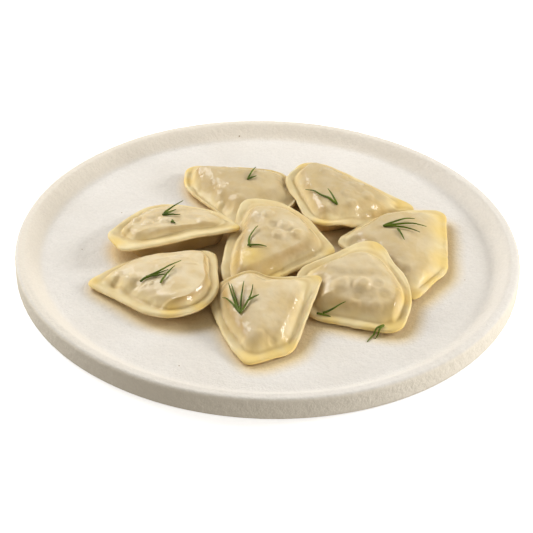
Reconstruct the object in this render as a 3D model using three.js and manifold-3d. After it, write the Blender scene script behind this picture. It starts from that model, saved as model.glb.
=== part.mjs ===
// Eight boiled pierogi on a round stoneware plate.
// Millimetres, +Z up, with the origin at the centre of the plate's underside.
//
// The plate is one turned solid. A dumpling is two sheets of dough sealed around an
// outline of a few corners, and its filling lifts a pillow above and below the seal.
// The dumplings are numbered in the order they were laid: a later one can lie on
// earlier ones, which take its dent.

import * as THREE from 'three';
import { mergeVertices } from 'three/addons/utils/BufferGeometryUtils.js';
import Module from 'manifold-3d';

// ---- plate ----
const PLATE_RADIUS = 120;
const PLATE_HEIGHT = 12;
const FLOOR_HEIGHT = 6; // thickness of the plate under the food
const CREST_WIDTH = 4; // from the outer wall to where the inner slope starts
const SLOPE_WIDTH = 5.5; // from there to the flat floor
const FOOT_ROUNDING = 3;
const RIM_ROUNDING = 2.8;
const PLATE_SIDES = 80;
const ROUNDING_STEPS = 3;

// ---- dumplings ----
const SEAL_THICKNESS = 2.3; // two sheets of dough pressed together
const PRESSED_SHARE = 0.75; // of that thickness, left where the seal meets the pillow
const EDGE_SHARE = 0.22; // of the seal's width, taken by its rounded outer edge
const CROWN_SHARE = 0.25; // of a pillow's height, left for its crown
const UNDERSIDE_SHOULDER = 0.6; // the shoulder below is steeper than the one above
const DROOP = 0.5; // of a corner's rise or fall, left at the pillow's foot
const CLEARANCE = 0.3; // between touching solids
const ARC_STEPS = 3;
const SIDE_STEPS = 2;
const SHOULDER_STEPS = 3;
const CROWN_STEPS = 2;

// Every dumpling lists its corners anticlockwise seen from above, as
// [x, y, height above the plate's floor, rounding], and for the side that starts at
// each corner the width of its seal and of the pillow's shoulder inside it.
// rise and depth are the pillow's heights above and below the seal, and lift is how
// far the pillow's middle stands above the corners' own plane.
const DUMPLINGS = [
  {
    // back left, its right end under the next one's seal
    corners: [[-44.5, 71.5, 4, 9], [-43, 50.5, 3, 8], [-15, 14.5, 3, 9],
      [12.5, 36.5, 4.5, 10], [9, 65.5, 6, 12]],
    seal: [6, 2.5, 3.5, 3, 4],
    shoulder: [3, 4, 3, 5, 3],
    rise: 8.5, depth: 5, lift: 0,
  },
  {
    // back right, long, with a full belly that holds its front edge up
    corners: [[6.5, 55, 8.5, 7], [18.5, 15, 8, 9], [29.5, 9, 9.5, 14],
      [75.5, 35, 3.5, 8], [32.5, 68, 7.5, 14], [18, 73, 8, 8]],
    seal: [5, 5.5, 5, 4, 4, 4],
    shoulder: [3, 2.5, 3, 4, 3, 3],
    rise: 7.5, depth: 11, lift: 0,
  },
  {
    // middle, its back corner lying on the first one
    corners: [[-17, 11.5, 9.5, 10], [-22, -19.5, 6.5, 14], [-20.5, -37, 5, 8],
      [-6.5, -39.5, 4.5, 9], [33.5, -11, 8, 6], [14, 22, 12, 20], [-12.5, 28.5, 14, 10]],
    seal: [4, 4.5, 4, 3.8, 3.8, 3.8, 3.8],
    shoulder: [3, 3, 4, 2.5, 3, 3, 3],
    rise: 8.5, depth: 8, lift: 0,
  },
  {
    // right, wide and smooth
    corners: [[33, 3, 3.5, 6], [67, -42.5, 2, 7], [86.5, -16.5, 2, 7],
      [88, 33, 5, 8], [60.5, 32, 5.5, 18]],
    seal: [3, 4, 5.5, 4.5, 4],
    shoulder: [7, 3, 5, 5, 4],
    rise: 7.8, depth: 5, lift: 0,
  },
  {
    // right front, its back corner lying on the last one
    corners: [[14, -32.5, 8, 9], [18, -56, 2, 9], [57.5, -69, 2, 11],
      [68, -39.5, 7, 12], [49, -4, 14, 10]],
    seal: [4, 6, 4, 4.5, 6],
    shoulder: [9, 2.5, 3, 4, 3],
    rise: 8, depth: 5.5, lift: 0,
  },
  {
    // front, propped up at the back by the two behind it
    corners: [[-28, -37, 2.5, 7], [-22.5, -64.5, 3, 16], [-7.5, -93, 2, 10],
      [11.5, -83.5, 3, 8], [26.5, -36.5, 12.5, 5], [1.5, -36.5, 9.5, 10], [-8, -32.5, 12, 8]],
    seal: [4.5, 4.5, 6, 4.3, 3, 3, 4],
    shoulder: [7, 6, 5, 2.5, 5, 5, 5],
    rise: 7.5, depth: 5.5, lift: 0,
  },
  {
    // left front, nearly flat, its right side over the front one's corner
    corners: [[-82.5, -34, 2, 7], [-51, -61, 2.5, 18], [-33, -60, 4, 12],
      [-21, -49, 7.5, 9], [-24, -10.5, 6.5, 8], [-63, -14, 3.5, 18]],
    seal: [6, 6, 5.5, 4.7, 3, 3.5],
    shoulder: [5, 3, 2.5, 2.5, 3, 4],
    rise: 6.8, depth: 5, lift: 1.5,
  },
  {
    // left back, leaning away on a full belly, its right tip on the middle one's seal
    corners: [[-77, -1.5, 6, 8], [-68.5, -19.5, 10, 7], [-12.5, 0.5, 12.5, 4.5],
      [-24, 26.5, 5, 14], [-59.5, 37, 2.5, 18]],
    seal: [7, 4.5, 4, 4.5, 5],
    shoulder: [3, 2.2, 4, 4, 3],
    rise: 7, depth: 12, lift: 0,
  },
];

const wasm = await Module();
wasm.setup();

const stoneware = new THREE.MeshStandardMaterial({ color: 0xebe5da, roughness: 0.9, metalness: 0 });
const dough = new THREE.MeshStandardMaterial({ color: 0xdccba4, roughness: 0.42, metalness: 0 });

// ---- plate ----

// A quarter circle in the plate's section, from angle `start` (radians) on.
function quarterRound(centreX, centreY, radius, start) {
  return Array.from({ length: ROUNDING_STEPS + 1 }, (_, step) => {
    const angle = start + (step / ROUNDING_STEPS) * (Math.PI / 2);
    return new THREE.Vector2(centreX + radius * Math.cos(angle), centreY + radius * Math.sin(angle));
  });
}

// Half section from the middle of the underside, out round the rim and back to the
// middle of the floor. The inner slope falls along half a cosine wave.
function makePlate() {
  const section = [
    new THREE.Vector2(0, 0),
    ...quarterRound(PLATE_RADIUS - FOOT_ROUNDING, FOOT_ROUNDING, FOOT_ROUNDING, -Math.PI / 2),
    ...quarterRound(PLATE_RADIUS - RIM_ROUNDING, PLATE_HEIGHT - RIM_ROUNDING, RIM_ROUNDING, 0),
  ];
  const slopeSteps = 2 * ROUNDING_STEPS;
  for (let step = 0; step <= slopeSteps; step += 1) {
    const share = step / slopeSteps;
    const fall = (1 - Math.cos(Math.PI * share)) / 2;
    section.push(new THREE.Vector2(
      PLATE_RADIUS - CREST_WIDTH - SLOPE_WIDTH * share,
      PLATE_HEIGHT - (PLATE_HEIGHT - FLOOR_HEIGHT) * fall,
    ));
  }
  section.push(new THREE.Vector2(0, FLOOR_HEIGHT));
  const plate = new THREE.Mesh(new THREE.LatheGeometry(section, PLATE_SIDES), stoneware);
  plate.name = 'plate';
  plate.rotation.x = Math.PI / 2;
  return plate;
}

// ---- dumpling outline ----

// The plane through a dumpling's seal: its middle is the corners' mean, and its
// normal is the sum of the normals of the triangles from the middle to each side.
function sealPlane(points) {
  const middle = new THREE.Vector3();
  points.forEach((point) => middle.addScaledVector(point, 1 / points.length));
  const normal = new THREE.Vector3();
  points.forEach((point, index) => {
    const next = points[(index + 1) % points.length];
    normal.add(new THREE.Vector3().crossVectors(
      point.clone().sub(middle),
      next.clone().sub(middle),
    ));
  });
  normal.normalize();
  const across = new THREE.Vector3(1, 0, 0).addScaledVector(normal, -normal.x).normalize();
  const along = new THREE.Vector3().crossVectors(normal, across);
  return { middle, normal, matrix: new THREE.Matrix4().makeBasis(across, along, normal) };
}

// The corners after every side has moved inwards by its own width: each new corner
// is where its two moved sides cross. Heights are scaled by `keptHeight`.
function movedIn(corners, widths, keptHeight) {
  const inward = corners.map((corner, index) => {
    const next = corners[(index + 1) % corners.length];
    return new THREE.Vector2(corner.y - next.y, next.x - corner.x).normalize();
  });
  return corners.map((corner, index) => {
    const before = (index + corners.length - 1) % corners.length;
    const a = inward[before];
    const b = inward[index];
    const determinant = a.x * b.y - a.y * b.x;
    const shiftX = (widths[before] * b.y - widths[index] * a.y) / determinant;
    const shiftY = (widths[index] * a.x - widths[before] * b.x) / determinant;
    return new THREE.Vector3(corner.x + shiftX, corner.y + shiftY, corner.z * keptHeight);
  });
}

// A closed ring of points: a quadratic arc round every corner, and straight sides.
function roundedRing(corners, roundings) {
  const longestArc = 0.47; // of a side, so that two arcs never meet
  const cut = (index, step) => {
    const corner = corners[index];
    const other = corners[(index + step + corners.length) % corners.length];
    const share = Math.min(roundings[index] / corner.distanceTo(other), longestArc);
    return corner.clone().lerp(other, share);
  };
  return corners.flatMap((corner, index) => {
    const following = (index + 1) % corners.length;
    const arc = new THREE.QuadraticBezierCurve3(cut(index, -1), corner, cut(index, 1));
    const side = new THREE.LineCurve3(cut(index, 1), cut(following, -1));
    return [
      ...Array.from({ length: ARC_STEPS }, (_, step) => arc.getPoint(step / ARC_STEPS)),
      ...Array.from({ length: SIDE_STEPS }, (_, step) => side.getPoint(step / SIDE_STEPS)),
    ];
  });
}

const mixedRing = (from, to, share) => from.map((point, index) => point.clone().lerp(to[index], share));

// ---- dumpling skin ----

// The rings of one side, from the seal's edge to the pillow's crown, each with its
// height off the seal's plane: a rounded edge, a seal pressed thinner towards the
// pillow, a shoulder along a quarter ellipse, and a crown along a parabola.
function sideRings(outline, foot, brim, height, grow) {
  const sealHeight = SEAL_THICKNESS / 2 + grow;
  const footHeight = sealHeight * PRESSED_SHARE;
  const brimHeight = height * (1 - CROWN_SHARE) + grow;
  const rings = [
    { points: mixedRing(outline, foot, EDGE_SHARE), height: sealHeight },
    { points: foot, height: footHeight },
  ];
  for (let step = 1; step <= SHOULDER_STEPS; step += 1) {
    const angle = (step / SHOULDER_STEPS) * (Math.PI / 2);
    rings.push({
      points: mixedRing(foot, brim, 1 - Math.cos(angle)),
      height: THREE.MathUtils.lerp(footHeight, brimHeight, Math.sin(angle)),
    });
  }
  const crown = new THREE.Vector3();
  brim.forEach((point) => crown.addScaledVector(point, 1 / brim.length));
  crown.z = 0;
  for (let step = 1; step < CROWN_STEPS; step += 1) {
    const share = step / CROWN_STEPS;
    rings.push({
      points: brim.map((point) => point.clone().lerp(crown, share)),
      height: brimHeight + height * CROWN_SHARE * (1 - (1 - share) ** 2),
    });
  }
  return { rings, crown, crownHeight: height + grow };
}

// A closed solid in the plate's frame: the outline ring is shared by both sides, and
// whatever would sink into the plate lies flat on it. `grow` makes the same dumpling
// fatter all round by that much, to keep neighbours apart.
function dumplingSolid(spec, grow = 0) {
  const points = spec.corners.map(([x, y, z]) => new THREE.Vector3(x, y, z));
  const roundings = spec.corners.map((corner) => corner[3]);
  const plane = sealPlane(points);
  plane.middle.addScaledVector(plane.normal, spec.lift);
  const toPlane = plane.matrix.clone().setPosition(plane.middle).invert();
  const fromPlane = plane.matrix.clone().setPosition(plane.middle);

  const outwards = spec.seal.map(() => -grow);
  const corners = movedIn(points.map((point) => point.applyMatrix4(toPlane)), outwards, 1);
  const footCorners = movedIn(corners, spec.seal, DROOP);
  const outline = roundedRing(corners, roundings);
  const foot = roundedRing(footCorners, roundings);
  const brimBelow = spec.shoulder.map((width) => width * UNDERSIDE_SHOULDER);
  const sides = [
    { sign: 1, brim: spec.shoulder, height: spec.rise },
    { sign: -1, brim: brimBelow, height: spec.depth },
  ];

  const lowest = grow > 0 ? -Infinity : CLEARANCE;
  const vertices = [];
  const place = (point, height) => {
    const placed = new THREE.Vector3(point.x, point.y, point.z + height).applyMatrix4(fromPlane);
    vertices.push(placed.x, placed.y, Math.max(placed.z, lowest));
  };
  outline.forEach((point) => place(point, 0));

  const around = outline.length;
  const triangles = [];
  sides.forEach(({ sign, brim, height }) => {
    const brimRing = roundedRing(movedIn(footCorners, brim, DROOP), roundings);
    const { rings, crown, crownHeight } = sideRings(outline, foot, brimRing, height, grow);
    const triangle = (a, b, c) => triangles.push(...(sign > 0 ? [a, b, c] : [a, c, b]));
    let outer = 0;
    rings.forEach((ring) => {
      const inner = vertices.length / 3;
      ring.points.forEach((point) => place(point, sign * ring.height));
      for (let index = 0; index < around; index += 1) {
        const next = (index + 1) % around;
        triangle(outer + index, outer + next, inner + next);
        triangle(outer + index, inner + next, inner + index);
      }
      outer = inner;
    });
    const top = vertices.length / 3;
    place(crown, sign * crownHeight);
    for (let index = 0; index < around; index += 1) {
      triangle(outer + index, outer + ((index + 1) % around), top);
    }
  });
  return new wasm.Manifold(new wasm.Mesh({
    numProp: 3,
    vertProperties: new Float32Array(vertices),
    triVerts: new Uint32Array(triangles),
  }));
}

// A later dumpling presses its dent into the earlier ones that it lies on. Only the
// largest piece is kept, should the dent cut off a sliver of the seal.
function dented(index) {
  let solid = dumplingSolid(DUMPLINGS[index]);
  DUMPLINGS.slice(index + 1).forEach((later) => {
    solid = solid.subtract(dumplingSolid(later, CLEARANCE));
  });
  return solid.decompose().reduce((largest, piece) => (
    piece.volume() > largest.volume() ? piece : largest
  ));
}

function makeDumpling(index) {
  const { vertProperties, triVerts } = dented(index).getMesh();
  const geometry = new THREE.BufferGeometry();
  geometry.setAttribute('position', new THREE.BufferAttribute(vertProperties, 3));
  geometry.setIndex(new THREE.BufferAttribute(triVerts, 1));
  const merged = mergeVertices(geometry);
  merged.computeVertexNormals();
  const dumpling = new THREE.Mesh(merged, dough.clone());
  dumpling.name = `pierogi_${index + 1}`;
  return dumpling;
}

const food = new THREE.Group();
food.position.z = FLOOR_HEIGHT;
DUMPLINGS.forEach((_, index) => food.add(makeDumpling(index)));

const dish = new THREE.Group();
dish.add(makePlate(), food);

export default dish;
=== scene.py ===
"""Boiled pierogi on a stoneware plate: the looks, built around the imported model.

Sizes are in millimetres, with +Z up and the origin under the middle of the plate, as in
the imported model. They are turned to metres only where a mesh, lamp or camera is made.
"""

import math

import bpy
import numpy as np
from mathutils import Matrix, Vector


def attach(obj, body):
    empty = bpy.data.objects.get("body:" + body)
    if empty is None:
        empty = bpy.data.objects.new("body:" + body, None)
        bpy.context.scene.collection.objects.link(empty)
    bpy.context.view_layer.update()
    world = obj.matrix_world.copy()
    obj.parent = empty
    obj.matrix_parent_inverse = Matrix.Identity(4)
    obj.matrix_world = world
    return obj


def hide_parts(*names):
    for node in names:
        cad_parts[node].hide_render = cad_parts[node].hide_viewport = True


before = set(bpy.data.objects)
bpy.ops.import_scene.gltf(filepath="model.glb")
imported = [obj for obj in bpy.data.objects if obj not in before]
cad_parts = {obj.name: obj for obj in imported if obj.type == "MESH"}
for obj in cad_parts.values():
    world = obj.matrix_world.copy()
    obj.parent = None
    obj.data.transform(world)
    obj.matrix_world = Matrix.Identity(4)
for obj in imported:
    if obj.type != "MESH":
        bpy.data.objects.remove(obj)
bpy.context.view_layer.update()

MM = 0.001
TURN = 2 * math.pi

# ---- camera ----
CAMERA_ELEVATION = 34.2  # degrees above the table
CAMERA_ROLL = 1.68  # degrees, its right side up
CAMERA_DISTANCE = 750
CAMERA_AIM = (-0.4, -12.7, 6)
CAMERA_LENS = 106.9
SENSOR_WIDTH = 36
NEAREST_SEEN = 50

# ---- studio ----
TABLE_HALF = 3000
ROOM_GLOW = 0.3
TABLE_GLOW = 0.34
HORIZON = 0.02  # how far above and below level one glow turns to the other

# Each softbox is its name, place, width, height and power in watts.
SOFTBOXES = [
    ("back_left_softbox", (-830, 750, 880), 900, 750, 14.6),
    ("right_softbox", (930, 150, 430), 300, 220, 5.2),
    ("left_softbox", (-1230, 0, 420), 600, 600, 4),
    ("front_right_softbox", (1050, -560, 210), 260, 260, 5.5),
]

# ---- unevenness by chance ----
# Each kind is a list of noises, (how far it moves a point, how wide its features are).
LATTICE = 64  # cells along each side of the random numbers, after which they repeat

# ---- plate ----
PLATE_RADIUS = 120
PLATE_HEIGHT = 12
FLOOR_HEIGHT = 6
CREST_WIDTH = 4
SLOPE_WIDTH = 10
SLOPE_BIAS = 1.3  # above 1, the slope falls sooner, close to the crest
FOOT_ROUNDING = 3
RIM_ROUNDING = 1.8
WIPED_BAND = 2  # at the rim's outer edge, where the slip is wiped thin
WIPED_FADE = 1.5
BARE_START = 0.2  # above the rim's top
BARE_FADE = 1.4
CREAM_FADE = 4
LIT_SIDE_LEAST = 0.25  # share of the crest's cream at the front right, against 1 at the back left, where painted warm light is strongest
HAND_WAVES = [(0.18, 30)]
SAND = [(0.09, 2.6), (0.05, 1.3)]
PLATE_SEED = 11
PLATE_AROUND = 860
ROUNDING_POINTS = 7
CREST_POINTS = 4
SLOPE_POINTS = 13
UNDER_POINTS = 9
UNDER_START = 10  # radius of the underside's first ring
WALL_RING_STEP = 0.75
FLOOR_RING_STEP = 1.6
FLOOR_END = 2  # no floor ring is smaller
# The warm ring round the food on the plate is butter and painted shadow, blurred by the spread and
# moved by the drift.
BUTTER_AND_SHADOW_SPREAD = 3.5
BUTTER_AND_SHADOW_DRIFT = (2.2, -2.2, 0)

# ---- dumplings ----
SEAL_HALF = 1.1  # half the thickness of the two sheets pressed together
EDGE_ROUNDING = 1.2
DROOP = 0.5  # of a corner's rise or fall, left at the pillow's foot
LONGEST_CUT = 0.47  # of a side that a rounding takes, so that two never meet
FOOT_CORNER_SHARE = 0.9  # of the outline's rounding, and then the extra
FOOT_CORNER_EXTRA = 1
BRIM_CORNER_EXTRA = 3
PRESS_LAG = 0.35  # pressing grows across the seal as smooth((1 + PRESS_LAG) * share - PRESS_LAG)
SEAL_CROWDING = 1.4  # above 1, the seal's rings lie closer at its edge
CROWN_SHARE = 0.24  # of the pillow's rise, left to its nearly flat crown
SHOULDER_SLANT = 0.28  # share of the shoulder's climb that is a straight slope
FOOT_SOFTNESS = 1.2
PILLOW_SEALED = 0.15  # how sealed the dough still counts at the shoulder's top
SEALED_FADES = (1.2, 2)  # how fast that grows less across the shoulder and the crown
UNDERSIDE_SHOULDER = 0.6  # of the top's shoulder width
UNDERSIDE_FULLNESS = 2.4
LUMP_TOP = 1.4  # a lump's height is smooth(LUMP_TOP - LUMP_FALL * distance / radius)
LUMP_FALL = 0.9
CURD_SPACING = 5.2  # between the crumbs of filling that press through
CURD_RADIUS = 3.1
CURD_SHIFTS = (0.1, 0.9)  # least and most place of a crumb in its cell
CURD_SINK = 0.3  # of a crumb's height, that the dough between them sinks
EDGE_WANDER = [(0.45, 9)]
EDGE_CRIMP = [(0.16, 2.2)]
EDGE_RISE = [(0.45, 13)]
FOOT_WANDER = [(0.5, 7)]
BRIM_WANDER = [(0.8, 9)]
SWELLINGS = [(0.5, 10), (0.26, 5)]
CREASES = [(0.12, 2.6), (0.05, 1.3)]
UNDERSIDE_WAVES = [(0.3, 7)]
CURD_GATHERING = [(1.2, 12)]  # crumbs press through by smooth(0.5 + this)
LUMP_WAVER = [(0.4, 4)]
# Steep flanks are painted a darker golden brown: partly butter run down them, partly painted shade.
FLAT_UPRIGHT = 0.98  # upright part of a normal, above which the dough counts as flat
STEEP_RANGE = 0.4  # how far below that it takes the full painted shade of a steep flank
SEAL_CALM = 0.9  # share of the steep flanks' painted shade that the seal doesn't get
FOOT_LINE_RINGS = 2.5  # half width, in rings, of the painted shade line round a pressed foot
FOOT_LINE_SHADE = 0.7
HOLLOW_SHADE = 0.3  # painted shade: how much more of the filling's darker colour is laid on for each millimetre of hollow
HOLLOW_SHADE_MOST = 0.4
# The underside takes 0.7 of the steep flanks' painted shade, as painted shade under the dumpling.
UNDERSIDE_MARKS = {"seal": 0.0, "filling": 0.0, "golden": 0.0, "steep_shade": 0.7}
TOUCH = 0.3  # air between pieces that lie on each other
BEND_LIMIT = 3  # how far one dumpling may bend another's seal
BEND_SPREAD = 1.8  # how far a bend reaches past the edge that causes it
BEND_BLUR = 0.7
AROUND = 440
SEAL_RINGS = 14
SHOULDER_RINGS = 20
CROWN_RINGS = 40
UNDERSIDE_RINGS = (10, 10, 10)
ARC_STEPS = 16
SIDE_STEPS = 24
FIRST_SEED = 100
SEEDS_EACH = 20

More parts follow.
